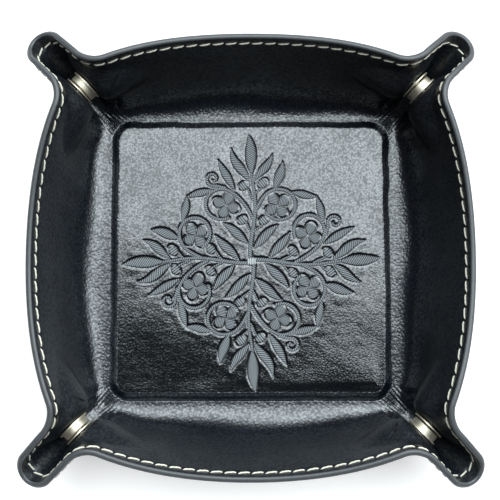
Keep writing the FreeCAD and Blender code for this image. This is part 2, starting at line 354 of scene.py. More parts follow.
DULL_FROM, DULL_TO, COAT_DULLING = 7 * MM, 18 * MM, 0.6
PEBBLES_PER_METRE, PORES_PER_METRE, DRIFTS_PER_METRE = 1300.0, 1800.0, 110.0
GLOSS_LESS, GLOSS_MORE, DRIFT_SHARE, DRIFT_RISE = 0.03, 0.05, 0.5, 0.8 * MM


def black_hide(name, colour, roughness, grain_metres, fleck, dulling=0.0, crumple=0.12, grain_scale=1.0):
    """Smooth finished hide: fine pebble grain with dull pores between the pebbles, flecks of lighter tone in
    the pores, slow drift in gloss, a thin clear coat, and less polish the higher the leather stands."""
    coat_roughness = roughness + COAT_DULLING * dulling
    material, shader = new_finish(name, IOR=1.6, Coat_Weight=0.4, Coat_Roughness=coat_roughness)
    n = add_nodes(material, place="TexCoord", pebble="TexVoronoi", pore="TexNoise", drift="TexNoise",
                  split="SeparateXYZ", dull="MapRange", matt="Math", gloss="MapRange", speck="MapRange",
                  tone="MixRGB", grain="Math", worn="Math", shine="MapRange", fine="Bump", slow="Bump")
    n["pebble"].feature = "SMOOTH_F1"
    n["grain"].operation = "ADD"
    n["matt"].operation = "ADD"
    n["worn"].operation = "MULTIPLY_ADD"
    n["worn"].inputs[1].default_value = DRIFT_SHARE
    set_inputs(n["dull"], From_Min=DULL_FROM, From_Max=DULL_TO, To_Min=0.0, To_Max=dulling)
    set_inputs(n["pebble"], Scale=PEBBLES_PER_METRE * grain_scale, Smoothness=0.5)
    set_inputs(n["pore"], Scale=PORES_PER_METRE * grain_scale, Detail=3.0)
    set_inputs(n["speck"], From_Min=0.44, From_Max=0.70)
    set_inputs(n["drift"], Scale=DRIFTS_PER_METRE, Detail=3.0)
    set_inputs(n["gloss"], To_Min=roughness - GLOSS_LESS, To_Max=roughness + GLOSS_MORE)
    set_inputs(n["shine"], From_Min=0.8, From_Max=1.5, To_Min=1.05, To_Max=0.35)
    set_inputs(n["tone"], Color1=(*colour, 1), Color2=(*[fleck * c for c in colour], 1))
    set_inputs(n["fine"], Strength=0.5, Distance=grain_metres)
    set_inputs(n["slow"], Strength=crumple, Distance=DRIFT_RISE)
    for kind in ("pebble", "pore", "drift", "split"):
        wire(material, (n["place"], "Object", n[kind], "Vector"))
    wire(material, (n["drift"], "Fac", n["gloss"], "Value"), (n["split"], "Z", n["dull"], "Value"),
         (n["gloss"], "Result", n["matt"], 0), (n["dull"], "Result", n["matt"], 1),
         (n["matt"], "Value", shader, "Roughness"), (n["pore"], "Fac", n["speck"], "Value"),
         (n["speck"], "Result", n["tone"], "Fac"), (n["tone"], "Color", shader, "Base Color"),
         (n["pebble"], "Distance", n["grain"], 0), (n["pore"], "Fac", n["grain"], 1),
         (n["drift"], "Fac", n["worn"], 0), (n["grain"], "Value", n["worn"], 2),
         (n["worn"], "Value", n["shine"], "Value"), (n["shine"], "Result", shader, "Specular IOR Level"),
         (n["grain"], "Value", n["fine"], "Height"), (n["drift"], "Fac", n["slow"], "Height"),
         (n["slow"], "Normal", n["fine"], "Normal"), (n["fine"], "Normal", shader, "Normal"))
    return material


wall_hide = black_hide("wall_hide", (0.0004, 0.001, 0.0021), 0.21, 0.00018, 8.0,
                       dulling=0.26, crumple=0.3, grain_scale=0.72)
shell_hide = black_hide("shell_hide", (0.006, 0.007, 0.008), 0.36, 0.0001, 1.8)

EAR_FROM = WALL_STITCHES * STITCH_PITCH
LIP_LEAST, LIP_MOST, LIP_FROM = 0.01, 0.18, 24.0
BOARD_RISE, SHOULDER_INSET, GROOVE_INSET, GROOVE_DEPTH = 1.6, 4.0, 0.2, 0.05
PANEL_LAP, EDGE_WOBBLE, WOBBLE_SEED, WOBBLE_LENGTH = 0.6, 0.25, 21, 17.0
EDGE_ROWS, LIP_ROWS, UNDER_ROWS, UNDER_LEAST = 31, 9, 14, 0.012
BASE_COLUMNS, EAR_COLUMNS = 97, 26


def lip_edge(along):
    """Share of the wall curve that the base keeps: hardly any at mid side, a lip at the corners."""
    past = (half_side(along)[0] - LIP_FROM) / (EAR_FROM - LIP_FROM)
    return LIP_LEAST + (LIP_MOST - LIP_LEAST) * ease(past)


def panel_height(inset):
    """Top of the lining near the panel's edge: a round shoulder over the board, then one soft crease."""
    fall = np.clip((SHOULDER_INSET - inset) / (SHOULDER_INSET - GROOVE_INSET), 0, 1)
    rise = ease((GROOVE_INSET - inset) / GROOVE_INSET)
    drop = fall ** 3 * (10 - 15 * fall + 6 * fall ** 2)
    return 2 * PLY + BOARD_RISE - (BOARD_RISE + GROOVE_DEPTH) * drop + GROOVE_DEPTH * rise


def base_section(along):
    """Base skin out along one line: from under the panel's edge over the shoulder, the crease and the lip,
    then back along the underside."""
    folded, past_tip, left = half_side(along)
    foot_x, foot_y, out_x, out_y = (part[:, None] for part in foot_frame(folded))

    def at(x, y, z):
        x, y = unfold(x, y, past_tip[:, None], left[:, None])
        return np.stack(np.broadcast_arrays(x, y, z), -1)

    shoulder = SHOULDER_INSET * np.linspace(1, 0, EDGE_ROWS)[:-1]
    inset = np.concatenate([[SHOULDER_INSET + PANEL_LAP], shoulder])
    wobble = EDGE_WOBBLE * wave(at(foot_x, foot_y, 0.0), WOBBLE_SEED, WOBBLE_LENGTH)
    wobble = wobble * ease(inset) * ease(SHOULDER_INSET - inset)
    edge = at(foot_x - out_x * inset, foot_y - out_y * inset, panel_height(inset + wobble))
    edge[:, 0, 2] -= PANEL_LAP
    shares = np.linspace(0, 1, LIP_ROWS) * lip_edge(along)[:, None]
    line = np.broadcast_to(along[:, None], shares.shape)
    lip = lining_face(line, shares)
    lip_normals = unit(np.cross(*slopes(lining_face, line, shares)))
    under = shell_face(line, shares)[:, ::-1]
    inward = np.linspace(1, UNDER_LEAST, UNDER_ROWS)[1:]
    bottom = at(foot_x * inward, foot_y * inward, 0.0)
    points = np.concatenate([edge, lip, under, bottom], 1)
    return points, slice(edge.shape[1], edge.shape[1] + lip.shape[1]), lip_normals


ear_columns = np.linspace(EAR_FROM, RIM_LENGTH, EAR_COLUMNS)
wall_columns = np.linspace(-EAR_FROM, EAR_FROM, BASE_COLUMNS)
side_columns = np.concatenate([-ear_columns[:0:-1], wall_columns, ear_columns[1:-1]])
side_points, lip_rows, lip_normals = base_section(side_columns)
TURN_ORDER = (0, 3, 2, 1)
base_points = np.concatenate([quarter_turns(side_points, turns) for turns in TURN_ORDER])
columns, rows = base_points.shape[:2]
base_run = np.roll(base_points, -1, 0) - np.roll(base_points, 1, 0)
base_normals = unit(np.cross(base_run, np.gradient(base_points, axis=1)))
base_normals[:, :2] = 0.0, 0.0, 1.0
base_normals[:, lip_rows] = np.concatenate([quarter_turns(lip_normals, turns) for turns in TURN_ORDER])
inner_ring = np.arange(columns) * rows
base_faces = grid_faces(columns, rows, closed_columns=True).tolist()
base_faces += [inner_ring[::-1].tolist(), (inner_ring + rows - 1).tolist()]
base_skin = add_piece("base_skin", base_points, base_faces, [wall_hide], normals=base_normals)
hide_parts("base_inner", "base_outer")
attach(base_skin, "base")


# The panel: the middle of the lining, embroidered before it is glued over the board.
# Every thread draws its edge down into the hide, so that the hide between the threads stands up a little.
# The threads of one arm are listed by their outward and sideways places; four arms make the medallion.
MEDALLION_AT = np.array([0.4, -1.0])
STEM_REACH, STEM_HALF, STEM_POINTS = (1.2, 36.0), (0.8, 0.5), 60
STEM_ASIDE, STEM_SWAY, STEM_START, STEM_LENGTH = 0.3, 1.0, 12.0, 6.2
LEAVES = (((34.6, -0.1), (51.0, -1.4), 2.15, 0.3), ((31.6, -0.8), (44.9, -8.2), 1.65, -0.9),
          ((32.2, 1.0), (42.7, 8.2), 1.5, 0.55), ((28.4, -6.9), (40.3, -13.4), 1.45, -0.15),
          ((28.6, 9.0), (39.7, 12.3), 1.75, 0.35), ((6.9, -1.4), (15.2, -11.6), 1.65, 0.3),
          ((5.1, 0.7), (14.4, 10.3), 1.65, -0.3), ((28.4, -15.4), (25.6, -25.7), 1.35, 0.15),
          ((27.5, 15.8), (25.8, 25.8), 1.35, 0.25))
LEAF_POINTS, LEAF_SKEW, LEAF_POINTED = 30, 0.95, 1.05
BERRIES = ((30.0, -3.3, 1.75), (31.0, 4.2, 1.85), (16.3, -3.9, 1.65), (16.2, 4.7, 1.65))
BERRY_LAY, BERRY_POINTS = np.array([0.6, 0.8]), 22
STALK_ROOTS = ((24.2, 0.6), (26.6, 1.0), (11.2, -0.1), (11.6, 0.6))
STALK_BOW, STALK_HALF, STALK_POINTS = 0.5, 0.36, 16
ROSETTES = ((22.2, -10.2, 0.35), (22.2, 10.2, 0.95))
PETALS, PETAL_ROOT, PETAL_REACH, PETAL_HALF, PETAL_LEAST, PETAL_POINTS = 4, 0.5, 4.8, 2.15, 0.2, 18
PETAL_SPAN, PETAL_SKEW, PETAL_ROUND = (0.04, 0.98), 1.5, 0.7
SCROLLS = (((16.9, 0.4), (22.7, -12.0), 6.4, 1.14), ((19.8, 1.4), (22.6, 11.0), 6.3, 1.34))
SCROLL_RISE, SCROLL_HALF, SCROLL_POINTS, OVAL_POINTS = 6.1, 0.62, 16, 36
SCROLL_LEAVE, SCROLL_MEET = (6.0, 2.6), 4.6
TENDRIL_AT, TENDRIL_RADIUS, TENDRIL_TURN, TENDRIL_WIND = (32.9, -15.5), 2.3, (-0.5, 1.5), (1.25, 0.35)
TENDRIL_ROOT, TENDRIL_BOW, TENDRIL_HALF, LEAD_POINTS, CURL_POINTS = (29.2, -10.4), 0.2, (0.6, 0.45), 10, 40
END_HALF = 0.12
STEM_SLANT, LEAF_SLANT, BERRY_SLANT, STALK_SLANT, PETAL_SLANT, TENDRIL_SLANT = 0.6, 0.7, 0.0, 0.5, 1.1, 0.5


def bowed(start, end, bow, count):
    """Line from start to end that bows sideways and curls back a little at its tip."""
    t = np.linspace(0, 1, count)[:, None]
    start, end = np.array(start), np.array(end)
    aside = (end - start)[::-1] * [-1, 1] / np.linalg.norm(end - start)
    return start + (end - start) * t + aside * bow * (4 * t * (1 - t) - 0.5 * np.sin(2 * np.pi * t))


def scroll_line(root, middle, wide, turns):
    """Scroll: leaves the stem in a curve, meets the top of an oval and runs round its far side to the
    bottom."""
    t = np.linspace(0, 1, SCROLL_POINTS)[:-1, None]
    top = np.array([middle[0] + SCROLL_RISE, middle[1]])
    way = np.sign(middle[1])
    first = np.array(root) + [SCROLL_LEAVE[0], SCROLL_LEAVE[1] * way]
    second = top - [0.0, SCROLL_MEET * way]
    rest = 1 - t
    rise = rest ** 3 * root + 3 * rest ** 2 * t * first + 3 * rest * t ** 2 * second + t ** 3 * top
    turn = np.linspace(0, turns * np.pi, OVAL_POINTS)
    oval = np.stack([middle[0] + SCROLL_RISE * np.cos(turn), middle[1] + way * wide * np.sin(turn)], -1)
    return np.concatenate([rise, oval])


def medallion_arm():
    """Centre lines, half widths and thread slants of one arm of the medallion: a swaying stem, leaves
    (root, tip, half width, bow), berries (middle, radius) on stalks, rosettes (middle, turn), scrolls
    (root, middle, half width, half turns) and a curled tendril."""
    threads = []
    reach = np.linspace(*STEM_REACH, STEM_POINTS)
    stem = np.stack([reach, STEM_ASIDE + STEM_SWAY * np.sin((reach - STEM_START) / STEM_LENGTH)], -1)
    threads.append((stem, np.linspace(*STEM_HALF, STEM_POINTS), STEM_SLANT))
    leaf = np.sin(np.pi * np.linspace(0, 1, LEAF_POINTS) ** LEAF_SKEW) ** LEAF_POINTED
    for root, tip, wide, bow in LEAVES:
        threads.append((bowed(root, tip, bow, LEAF_POINTS), END_HALF + wide * leaf, LEAF_SLANT))
    across = np.linspace(-1, 1, BERRY_POINTS)
    berry = np.sqrt(np.clip(1 - across ** 2, 0, 1))
    for (out, aside, radius), root in zip(BERRIES, STALK_ROOTS):
        line = np.array([out, aside]) + across[:, None] * radius * BERRY_LAY
        threads.append((line, END_HALF + radius * berry, BERRY_SLANT))
        stalk = bowed(root, (out, aside), STALK_BOW, STALK_POINTS)
        threads.append((stalk, np.full(STALK_POINTS, STALK_HALF), STALK_SLANT))
    petal = np.sin(np.pi * np.linspace(*PETAL_SPAN, PETAL_POINTS) ** PETAL_SKEW) ** PETAL_ROUND
    for out, aside, turn in ROSETTES:
        for angle in turn + np.arange(PETALS) * 2 * np.pi / PETALS:
            way = np.array([np.cos(angle), np.sin(angle)])
            line = np.array([out, aside]) + np.linspace(PETAL_ROOT, PETAL_REACH, PETAL_POINTS)[:, None] * way
            threads.append((line, PETAL_LEAST + PETAL_HALF * petal, PETAL_SLANT))
    for scroll in SCROLLS:
        line = scroll_line(*scroll)
        threads.append((line, np.full(len(line), SCROLL_HALF), STEM_SLANT))
    turn = np.linspace(*TENDRIL_TURN, CURL_POINTS) * np.pi
    spiral = TENDRIL_RADIUS * np.linspace(*TENDRIL_WIND, CURL_POINTS)
    curl = np.array(TENDRIL_AT) + np.stack([spiral * np.sin(turn), -spiral * np.cos(turn)], -1)
    tendril = np.concatenate([bowed(TENDRIL_ROOT, curl[0], TENDRIL_BOW, LEAD_POINTS)[:-1], curl])
    threads.append((tendril, np.linspace(*TENDRIL_HALF, len(tendril)), TENDRIL_SLANT))
    return threads


arm_threads = medallion_arm()
thread_lines = np.concatenate([line for line, wide, slant in arm_threads])
thread_reach = np.concatenate([wide for line, wide, slant in arm_threads])
THREAD_FAR, DISTANCE_PARTS = 8.0, 30


def medallion_place(line, turns):
    """Places on the base of an arm's outward and sideways places, after a number of right-angle turns."""
    flat = np.stack([line[:, 1], line[:, 0], np.zeros(len(line))], -1)
    return quarter_turns(flat, turns)[:, :2] + MEDALLION_AT


def thread_distance(points):
    """Distance from places on the base to the edge of the nearest thread, negative under it."""
    nearest = np.full(len(points), THREAD_FAR)
    for turns in range(4):
        lines = medallion_place(thread_lines, turns)
        close = (points > lines.min(0) - THREAD_FAR) & (points < lines.max(0) + THREAD_FAR)
        for part in np.array_split(np.flatnonzero(close.all(1)), DISTANCE_PARTS):
            gap = np.hypot(*(points[part, None, axis] - lines[:, axis] for axis in (0, 1))) - thread_reach
            nearest[part] = np.minimum(nearest[part], gap.min(1))
    return nearest


SWELL_RISE, SWELL_SEED, SWELL_LENGTH = 0.08, 11, 26.0
RIPPLE_RISE, RIPPLE_PUCKER, RIPPLE_SEED, RIPPLE_LENGTH = 0.004, 0.02, 12, 4.5
PUCKER_RISE, PUCKER_REACH, DIP_DEPTH, DIP_INSIDE, DIP_HALF = 0.10, 4.0, 0.26, 0.2, 0.5
BULGE_RISE, BULGE_AT, BULGE_HALF = 0.38, (40.0, -50.0), (22.0, 15.0)


def panel_relief(points):
    """Relief of the panel: slow swells, fine ripples, a dip at each thread's edge with puckers around it,
    and a bulge where the hide lies loose near one corner."""
    flat = points.reshape(-1, 3)
    gap = thread_distance(flat[:, :2])
    pucker = np.exp(-np.clip(gap, 0, None) / PUCKER_REACH)
    relief = SWELL_RISE * wave(flat, SWELL_SEED, SWELL_LENGTH)
    relief += (RIPPLE_RISE + RIPPLE_PUCKER * pucker) * wave(flat, RIPPLE_SEED, RIPPLE_LENGTH)
    relief += PUCKER_RISE * pucker - DIP_DEPTH * bump(gap + DIP_INSIDE, DIP_HALF)
    relief += BULGE_RISE * np.prod(bump(flat[:, :2] - BULGE_AT, np.array(BULGE_HALF)), axis=1)
    return relief.reshape(points.shape[:-1])


PANEL_STEPS, PANEL_FADE, PANEL_THICK, TINY = 312, 4.5, 0.5, 1e-9


def panel_grid():
    """Square grid over the panel whose rim is drawn in to the round corners of the panel's edge."""
    half, corner = FOOT_HALF - SHOULDER_INSET, FOOT_CORNER - SHOULDER_INSET
    x, y = np.meshgrid(*[np.linspace(-half, half, PANEL_STEPS)] * 2, indexing="ij")
    in_x, in_y = np.abs(x) - (half - corner), np.abs(y) - (half - corner)
    past_x, past_y = np.clip(in_x, TINY, None), np.clip(in_y, TINY, None)
    pull = np.where((in_x > 0) & (in_y > 0), np.maximum(past_x, past_y) / np.hypot(past_x, past_y), 1.0)
    x = np.sign(x) * np.where(pull < 1, half - corner + in_x * pull, np.abs(x))
    y = np.sign(y) * np.where(pull < 1, half - corner + in_y * pull, np.abs(y))
    fade = ease((half - np.maximum(np.abs(x), np.abs(y))) / PANEL_FADE)
    return np.stack([x, y, np.full(x.shape, 2 * PLY + BOARD_RISE)], -1), fade


lining_hide = black_hide("lining_hide", (0.0015, 0.0018, 0.0023), 0.13, 0.00007, 2.5, crumple=0.05)
panel_points, panel_fade = panel_grid()
panel_points[..., 2] += panel_fade * panel_relief(panel_points)
panel_normals = unit(np.cross(np.gradient(panel_points, axis=0), np.gradient(panel_points, axis=1)))
top_count = PANEL_STEPS ** 2
index = np.arange(top_count).reshape(PANEL_STEPS, PANEL_STEPS)
border = np.concatenate([index[:-1, 0], index[-1, :-1], index[:0:-1, -1], index[0, :0:-1]])
under_border = panel_points.reshape(-1, 3)[border] - [0, 0, PANEL_THICK]
under = top_count + np.arange(len(border))
skirt = np.stack([border, under, np.roll(under, -1), np.roll(border, -1)], -1)
panel_faces = grid_faces(PANEL_STEPS, PANEL_STEPS).tolist() + skirt.tolist() + [under[::-1].tolist()]
panel_piece_points = np.concatenate([panel_points.reshape(-1, 3), under_border])
under_normals = np.tile([0.0, 0.0, -1.0], (len(border), 1))
panel_piece_normals = np.concatenate([panel_normals.reshape(-1, 3), under_normals])
panel = add_piece("panel", panel_piece_points, panel_faces, [lining_hide], normals=panel_piece_normals)
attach(panel, "base")


# The medallion: satin stitch in black thread, sewn through the lining before it is glued down.
# Each leaf, petal, berry and stem is a crowned pad of threads laid side by side across it.
THREAD_RISE, THREAD_SINK, THREAD_PITCH, THREAD_JAG = 0.34, 0.3, 0.88, 0.3
BAND_SCALE = math.pi / 10 / THREAD_PITCH
PAD_SIDES, CROWN_LEAST, CROWN_GAIN, CROWN_POWER = 14, 0.45, 0.35, 0.4
KNOT_HALF, KNOT_LIFT, KNOT_POINTS, KNOT_END, KNOT_POWER = 1.7, 0.2, 12, 0.97, 6


def satin_thread(name, dark, light):
    """Thread laid side by side: round ridges across each pad, painted lighter on the ridge tops and darker
    between them as painted highlight and painted shade, soft sheen, and a dark jagged edge of painted shade
    where the pad dives into the hide."""
    material, shader = new_finish(name, Roughness=0.6, Specular_IOR_Level=0.12, Sheen_Weight=0.04,
                                  Sheen_Roughness=0.4)
    n = add_nodes(material, place="UVMap", split="SeparateXYZ", side="Math", jag="Math", edge="MapRange",
                  lay="TexWave", tone="MixRGB", shade="MixRGB", ridge="Bump")
    n["side"].operation = "ABSOLUTE"
    n["jag"].operation = "MULTIPLY_ADD"
    n["jag"].inputs[1].default_value = -THREAD_JAG
    n["lay"].bands_direction = "X"
    n["shade"].blend_type = "MULTIPLY"
    set_inputs(n["lay"], Scale=BAND_SCALE, Distortion=0.8, Detail=1.0)
    # The lay of the threads picks between the dark and light tones: painted shade between the threads,
    # painted highlight on their tops.
    set_inputs(n["tone"], Color1=(*dark, 1), Color2=(*light, 1))
    # The edge mask multiplies the pad's rim toward the dark shade colour: painted shade where the pad dives
    # into the hide.
    set_inputs(n["edge"], From_Min=0.4, From_Max=0.8, To_Min=0.0, To_Max=1.0)
    set_inputs(n["shade"], Color2=(0.10, 0.10, 0.11, 1))
    set_inputs(n["ridge"], Strength=0.9, Distance=0.0003)
    wire(material, (n["place"], "UV", n["lay"], "Vector"), (n["place"], "UV", n["split"], "Vector"),
         (n["split"], "Y", n["side"], 0), (n["lay"], "Fac", n["jag"], 0),
         (n["side"], "Value", n["jag"], 2), (n["jag"], "Value", n["edge"], "Value"),
         (n["edge"], "Result", n["shade"], "Fac"), (n["lay"], "Fac", n["tone"], "Fac"),
         (n["tone"], "Color", n["shade"], "Color1"), (n["shade"], "Color", shader, "Base Color"),
         (n["lay"], "Fac", n["ridge"], "Height"), (n["ridge"], "Normal", shader, "Normal"))
    return material


def satin_pad(line, wide, slant):
    """Closed pad along a line: an oval section as wide as the pad, full above the hide and shallow below it,
    lower where the pad is narrow."""
    way = unit(np.gradient(line, axis=0))
    aside = way[:, ::-1] * [-1, 1]
    angle = np.arange(PAD_SIDES) * 2 * np.pi / PAD_SIDES
    up = np.sin(angle)
    across = np.cos(angle) * wide[:, None]
    crown = np.minimum(1, CROWN_LEAST + CROWN_GAIN * wide)[:, None]
    lift = np.where(up > 0, THREAD_RISE * crown * np.abs(up) ** CROWN_POWER, THREAD_SINK * up)
    flat = line[:, None] + across[..., None] * aside[:, None]
    gone = np.concatenate([[0], np.cumsum(np.linalg.norm(np.diff(line, axis=0), axis=1))])
    uv = np.stack(np.broadcast_arrays(gone[:, None] + slant * across, np.cos(angle)), -1)
    return flat, lift, uv


def sew(name, jobs, finish, lift_by=0.0):
    """All pads of the given threads and right-angle turns in one mesh, sewn down on the base."""
    points, uvs, faces, start = [], [], [], 0
    for (line, wide, slant), turns in jobs:
        flat, lift, uv = satin_pad(line, wide, slant)
        columns, rows = lift.shape
        place = medallion_place(flat.reshape(-1, 2), turns)
        height = 2 * PLY + BOARD_RISE + lift_by + lift.ravel()
        points.append(np.column_stack([place, height]))
        uvs.append(uv.reshape(-1, 2))
        faces += (grid_faces(columns, rows, closed_rows=True)[:, ::-1] + start).tolist()
        first_ring = start + np.arange(rows)
        last_ring = first_ring + (columns - 1) * rows
        faces += [first_ring.tolist(), last_ring[::-1].tolist()]
        start += columns * rows
    piece = add_piece(name, np.concatenate(points), faces, [finish], uv=np.concatenate(uvs))
    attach(piece, "base")


# Black thread painted grey: its tones are painted sheen, the window light it mirrors, not the thread's own
# colour.
black_thread_painted_sheen = satin_thread("black_thread_painted_sheen", (0.05, 0.054, 0.058), (0.33, 0.35, 0.362))
sew("medallion", [(threads, turns) for turns in range(4) for threads in arm_threads], black_thread_painted_sheen)

# The knot is the same black thread, painted lighter still than the rest of the medallion: painted highlight.
knot_thread_painted_highlight = satin_thread("knot_thread_painted_highlight", (0.30, 0.31, 0.315), (0.55, 0.56, 0.565))
knot_line = np.stack([np.zeros(KNOT_POINTS), np.linspace(-1, 1, KNOT_POINTS) * KNOT_HALF], -1)
knot_wide = KNOT_HALF * np.sqrt(1 - np.linspace(-KNOT_END, KNOT_END, KNOT_POINTS) ** KNOT_POWER)
sew("medallion_knot", [((knot_line, knot_wide, 0.0), 0)], knot_thread_painted_highlight, KNOT_LIFT)


# The walls and ears: the same two-ply sheet standing up, bent at the base and at the necks.
# Each panel is a closed shell whose cut edge is rounded over and painted grey.
SIDES = ("north", "west", "south", "east")
CORNERS = ("ne", "nw", "sw", "se")
LINING, SHELL, PAINT = 0, 1, 2
RIM_ROUND = 0.8
PANEL_ROWS, RIM_ROWS, CLIMB_POWER, NEAR_RIM = 60, 11, 1.35, 0.999
WALL_COLUMNS, HALF_EAR_COLUMNS = 117, 75

edge_paint = mottled("edge_paint", (0.055, 0.057, 0.06), (0.085, 0.088, 0.092), 600.0, 0.0002,
                     Roughness=0.36)


def panel_section(along):
    """Section of a wall or ear: up the lining, round the rim in a half oval and down the shell, with its
    normals. The rows lie closer together toward the rim."""
    climb = 1 - (1 - np.linspace(0, 1, PANEL_ROWS)) ** CLIMB_POWER
    first = lip_edge(along)[:, None]
    shares = first + (1 - first) * climb
    line = np.broadcast_to(along[:, None], shares.shape)
    lining, shell = lining_face(line, shares), shell_face(line, shares)
    lining_normals = unit(np.cross(*slopes(lining_face, line, shares)))
    shell_normals = -unit(np.cross(*slopes(shell_face, line, shares)))
    up = unit(slopes(seam_surface, along, np.full(len(along), NEAR_RIM))[1])[:, None]
    middle, half = (lining[:, -1:] + shell[:, -1:]) / 2, (lining[:, -1:] - shell[:, -1:]) / 2
    turn = np.linspace(0, np.pi, RIM_ROWS)[1:-1, None]
    rim = middle + np.cos(turn) * half + RIM_ROUND * np.sin(turn) * up
    rim_normals = unit(np.cos(turn) * unit(half) * RIM_ROUND + np.sin(turn) * up * PLY)
    points = np.concatenate([lining, rim, shell[:, ::-1]], 1)
    return points, np.concatenate([lining_normals, rim_normals, shell_normals[:, ::-1]], 1)


def leather_panel(name, along, turns):
    """One wall or half ear as a closed shell, turned to its side of the tray."""
    points, normals = panel_section(along)
    columns, rows = points.shape[:2]
    row = np.arange(rows)
    finish = np.where(row < PANEL_ROWS - 1, LINING, np.where(row < PANEL_ROWS + RIM_ROWS - 2, PAINT, SHELL))
    lower, upper = row[:rows // 2], row[::-1][:rows // 2]
    cap = np.stack([lower[:-1], lower[1:], upper[1:], upper[:-1]], -1)
    far_cap = cap[:, ::-1] + (columns - 1) * rows
    faces = np.concatenate([grid_faces(columns, rows, closed_rows=True), cap, far_cap])
    finish = np.concatenate([np.tile(finish, columns - 1), np.full(2 * len(cap), LINING)])
    return add_piece(name, quarter_turns(points, turns), faces.tolist(), [wall_hide, shell_hide, edge_paint],
                     finish, quarter_turns(normals, turns))


def hang_on_wall(piece):
    """A piece of a wall: its placement is baked into its points."""
    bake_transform(piece)


def hang_on_ear(piece):
    """A piece of a half ear: its placement is baked into its points."""
    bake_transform(piece)


EAR_REACHES = (EAR_FROM, RIM_LENGTH), (RIM_LENGTH, 2 * RIM_LENGTH - EAR_FROM)
for turns, near in enumerate(SIDES):
    wall = leather_panel("wall_%s_skin" % near, np.linspace(-EAR_FROM, EAR_FROM, WALL_COLUMNS), turns)
    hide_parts("wall_%s_inner" % near, "wall_%s_outer" % near)
    hang_on_wall(wall)
    for owner, reach in zip((near, SIDES[turns - 1]), EAR_REACHES):
        body = "ear_%s_%s" % (CORNERS[turns], owner)
        ear = leather_panel(body + "_skin", np.linspace(*reach, HALF_EAR_COLUMNS), turns)
        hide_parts(body + "_inner", body + "_outer")
        hang_on_ear(ear)


# The seam: one run of cream thread round the whole rim, lockstitched through both plies.
# Each stitch lies a little aslant between two holes and stands proud of the pressed line.
STITCH_HALF, STITCH_THICK, STITCH_SLANT, STITCH_LIFT = 2.15, 0.30, 0.36, 0.2
STITCH_DIVE, DIVE_POWER, STITCH_TAPER, TAPER_POWER = 2.2, 5, 0.35, 6
TWIST_DEPTH, TWIST_TURN = 0.13, 9.0
STITCH_RINGS, STITCH_SIDES = 15, 8

seam_thread = mottled("seam_thread", (0.66, 0.60, 0.47), (0.84, 0.80, 0.69), 1500.0, 0.0002, Roughness=0.7)


def stitch_row(name, first, count, turns):
    """Twisted stitches, an oval tube each, on both faces of a panel: both ends dive into their holes."""
    middle = (np.arange(count) + first + 0.5) * STITCH_PITCH
    t = np.linspace(-1, 1, STITCH_RINGS)
    angle = np.arange(STITCH_SIDES) * 2 * np.pi / STITCH_SIDES
    along = middle[:, None] + STITCH_HALF * t
    share = 1 - (seam_inset(along) - STITCH_SLANT * t) / below_rim(along, 0.0)
    lift = STITCH_LIFT * (1 - STITCH_DIVE * np.abs(t) ** DIVE_POWER)
    thick = STITCH_THICK * (1 - STITCH_TAPER * t ** TAPER_POWER)
    twist = 1 + TWIST_DEPTH * np.cos(2 * angle - TWIST_TURN * t[:, None])
    size = STITCH_RINGS * STITCH_SIDES
    ring_index = np.arange(STITCH_SIDES)
    points, faces, start = [], [], 0
    for face, side in ((lining_face, 1), (shell_face, -1)):
        run, rise = slopes(face, along, share)
        way, normal = unit(run), side * unit(np.cross(run, rise))
        aside = np.cross(normal, way)
        centre = face(along, share) + lift[:, None] * normal
        ring = np.cos(angle)[:, None] * aside[:, :, None] + np.sin(angle)[:, None] * normal[:, :, None]
        tube = centre[:, :, None] + (thick[:, None] * twist)[..., None] * ring
        quads = grid_faces(STITCH_RINGS, STITCH_SIDES, closed_rows=True)[:, ::side]
        ends = np.stack([ring_index[::-1], size - STITCH_SIDES + ring_index])[:, ::side]
        offsets = (start + np.arange(count) * size)[:, None, None]
        faces += (quads + offsets).reshape(-1, 4).tolist()
        faces += (ends + offsets).reshape(-1, STITCH_SIDES).tolist()
        points.append(tube.reshape(-1, 3))
        start += count * size
    return add_piece(name, quarter_turns(np.concatenate(points), turns), faces, [seam_thread])


EAR_FIRSTS = WALL_STITCHES, WALL_STITCHES + EAR_STITCHES
for turns, near in enumerate(SIDES):
    hang_on_wall(stitch_row("seam_%s" % near, -WALL_STITCHES, 2 * WALL_STITCHES, turns))
    for owner, first in zip((near, SIDES[turns - 1]), EAR_FIRSTS):
        row = stitch_row("seam_%s_%s" % (CORNERS[turns], owner), first, EAR_STITCHES, turns)
        hang_on_ear(row)


# The snaps: pressed brass, plated pale gold, one pair riveted through each ear.
# The split ring that grips the stud inside each socket is spring steel.
MARK_POLISH, MARK_DULLING, MARK_TONE = 0.05, 0.1, 0.78


def snap_metal(name, colour, roughness):
    """Satin plating with faint marks, which dull it and darken it a little."""
    material, shader = new_finish(name, Metallic=1.0)
    n = add_nodes(material, place="TexCoord", marks="TexNoise", gloss="MapRange", tone="MixRGB")
    set_inputs(n["marks"], Scale=900.0, Detail=4.0)
    set_inputs(n["gloss"], To_Min=roughness - MARK_POLISH, To_Max=roughness + MARK_DULLING)
    set_inputs(n["tone"], Color1=(*colour, 1), Color2=(*[MARK_TONE * c for c in colour], 1))
    wire(material, (n["place"], "Object", n["marks"], "Vector"), (n["marks"], "Fac", n["gloss"], "Value"),
         (n["gloss"], "Result", shader, "Roughness"), (n["marks"], "Fac", n["tone"], "Fac"),
         (n["tone"], "Color", shader, "Base Color"))
    return material


pale_gold = snap_metal("pale_gold", (0.84, 0.76, 0.61), 0.48)
spring_steel = snap_metal("spring_steel", (0.62, 0.62, 0.63), 0.3)
for corner in CORNERS:
    dress(["snap_%s_%s" % (corner, part) for part in ("stud", "eyelet", "socket", "cap")], pale_gold)
    dress(["snap_%s_spring" % corner], spring_steel)


# The stage: a pale floor that reads white to the camera and keeps the tray's shadow, a room with one broad
# window behind the tray's north side, and a camera almost straight above.
FLOOR_HALF, FLOOR_DROP, FLOOR_GLOW = 3000.0, 0.3, 0.42


